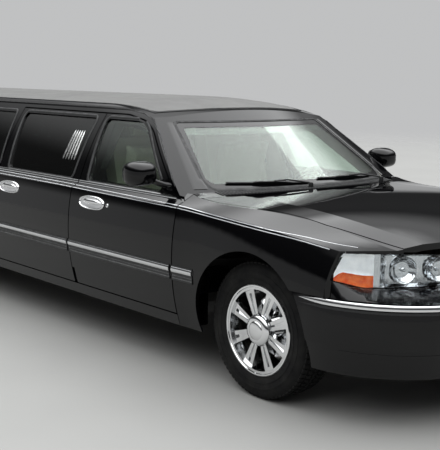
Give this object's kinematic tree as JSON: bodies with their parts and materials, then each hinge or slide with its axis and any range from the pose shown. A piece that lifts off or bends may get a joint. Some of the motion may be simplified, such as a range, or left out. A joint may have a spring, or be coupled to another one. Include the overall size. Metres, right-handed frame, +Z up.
{
  "type": "stretch limousine",
  "caption": "Long stretched saloon on a ladder frame, with hinged doors, bonnet and boot lid, steered front wheels and a closed lounge behind a partition.",
  "frame": {"origin": "on the ground under the middle of the car's length and width", "axes": "+X to the nose, +Y to the car's left, +Z up"},
  "size_m": [8.5229, 2.2, 1.462],
  "materials": {
    "body_paint": "gloss black paint",
    "roof_cover": "grained vinyl roof covering",
    "black_trim": "satin black moulding",
    "chrome": "bright chrome plate",
    "clear_glass": "green-tinted laminated glass",
    "dark_glass": "dark privacy glass",
    "lamp_glass": "clear moulded lens",
    "tail_glass": "red moulded lens",
    "tyre_rubber": "black tyre rubber",
    "frame_steel": "black chassis paint",
    "floor_steel": "primed and undersealed sheet",
    "raw_metal": "plain steel",
    "cast_metal": "cast housing",
    "seat_leather": "soft grained leather",
    "cabin_trim": "grained cabin moulding",
    "cabinet_wood": "lacquered veneer"
  },
  "bodies": {
    "root": {"body_side_left": "body_paint", "body_side_right": "body_paint", "wing_left": "body_paint", "wing_right": "body_paint", "quarter_left": "body_paint", "quarter_right": "body_paint", "rear_deck": "body_paint", "bumper_front": "body_paint", "bumper_rear": "body_paint", "roof_panel": "roof_cover", "cowl_panel": "black_trim", "grille": "chrome", "windscreen": "clear_glass", "rear_window": "dark_glass", "glass_fixed": "dark_glass", "headlamps": "lamp_glass", "tail_lamps": "tail_glass", "frame_rail_left": "frame_steel", "frame_rail_right": "frame_steel", "cross_members": "frame_steel", "front_suspension": "frame_steel", "fuel_tank": "frame_steel", "floor_pan": "floor_steel", "exhaust": "raw_metal", "engine_block": "cast_metal", "rear_axle": "cast_metal", "radiator": "black_trim", "front_seats": "seat_leather", "rear_seat": "seat_leather", "side_bench": "seat_leather", "dashboard": "cabin_trim", "partition": "cabin_trim", "steering_wheel": "cabin_trim", "bar_cabinet": "cabinet_wood"},
    "bonnet": {"hood": "body_paint"},
    "boot": {"boot_lid": "body_paint"},
    "front_door_left": {"door_front_left": "body_paint", "glass_front_left": "clear_glass", "mirror_left": "black_trim"},
    "front_door_right": {"door_front_right": "body_paint", "glass_front_right": "clear_glass", "mirror_right": "black_trim"},
    "middle_door_right": {"door_middle_right": "body_paint", "glass_middle_right": "dark_glass"},
    "rear_door_left": {"door_rear_left": "body_paint", "glass_rear_left": "dark_glass"},
    "rear_door_right": {"door_rear_right": "body_paint", "glass_rear_right": "dark_glass"},
    "steering_left": {"knuckle_left": "cast_metal"},
    "steering_right": {"knuckle_right": "cast_metal"},
    "wheel_front_left": {"tyre_front_left": "tyre_rubber", "rim_front_left": "chrome"},
    "wheel_front_right": {"tyre_front_right": "tyre_rubber", "rim_front_right": "chrome"},
    "wheel_rear_left": {"tyre_rear_left": "tyre_rubber", "rim_rear_left": "chrome"},
    "wheel_rear_right": {"tyre_rear_right": "tyre_rubber", "rim_rear_right": "chrome"}
  },
  "joints": [
    {"name": "front_door_left_hinge", "type": "hinge", "parent": "root", "child": "front_door_left", "pos_m": [2.5975, 0.985, 0.7], "axis": [0, 0, -1], "range_deg": [0, 65]},
    {"name": "front_door_right_hinge", "type": "hinge", "parent": "root", "child": "front_door_right", "pos_m": [2.5975, -0.985, 0.7], "axis": [0, 0, 1], "range_deg": [0, 65]},
    {"name": "middle_door_right_hinge", "type": "hinge", "parent": "root", "child": "middle_door_right", "pos_m": [1.5855, -0.985, 0.7], "axis": [0, 0, 1], "range_deg": [0, 65]},
    {"name": "rear_door_left_hinge", "type": "hinge", "parent": "root", "child": "rear_door_left", "pos_m": [-1.4625, 0.985, 0.7], "axis": [0, 0, -1], "range_deg": [0, 65]},
    {"name": "rear_door_right_hinge", "type": "hinge", "parent": "root", "child": "rear_door_right", "pos_m": [-1.4625, -0.985, 0.7], "axis": [0, 0, 1], "range_deg": [0, 65]},
    {"name": "bonnet_hinge", "type": "hinge", "parent": "root", "child": "bonnet", "pos_m": [2.6925, 0, 0.985], "axis": [0, -1, 0], "range_deg": [0, 60]},
    {"name": "boot_hinge", "type": "hinge", "parent": "root", "child": "boot", "pos_m": [-3.3785, 0, 1.014], "axis": [0, 1, 0], "range_deg": [0, 75]},
    {"name": "steer_right", "type": "hinge", "parent": "root", "child": "steering_right", "pos_m": [3.1995, -0.72, 0.351], "axis": [0, 0, 1], "range_deg": [-35, 35]},
    {"name": "steer_left", "type": "hinge", "parent": "root", "child": "steering_left", "pos_m": [3.1995, 0.72, 0.351], "axis": [0, 0, 1], "range_deg": [-35, 35]},
    {"name": "roll_front_left", "type": "hinge", "parent": "steering_left", "child": "wheel_front_left", "pos_m": [3.1995, 0.795, 0.351], "axis": [0, 1, 0], "continuous": true},
    {"name": "roll_rear_left", "type": "hinge", "parent": "root", "child": "wheel_rear_left", "pos_m": [-2.8385, 0.815, 0.351], "axis": [0, 1, 0], "continuous": true},
    {"name": "roll_front_right", "type": "hinge", "parent": "steering_right", "child": "wheel_front_right", "pos_m": [3.1995, -0.795, 0.351], "axis": [0, 1, 0], "continuous": true},
    {"name": "roll_rear_right", "type": "hinge", "parent": "root", "child": "wheel_rear_right", "pos_m": [-2.8385, -0.815, 0.351], "axis": [0, 1, 0], "continuous": true}
  ],
  "couplings": [
    {"joint": "steer_left", "follows": "steer_right", "ratio": 1}
  ]
}
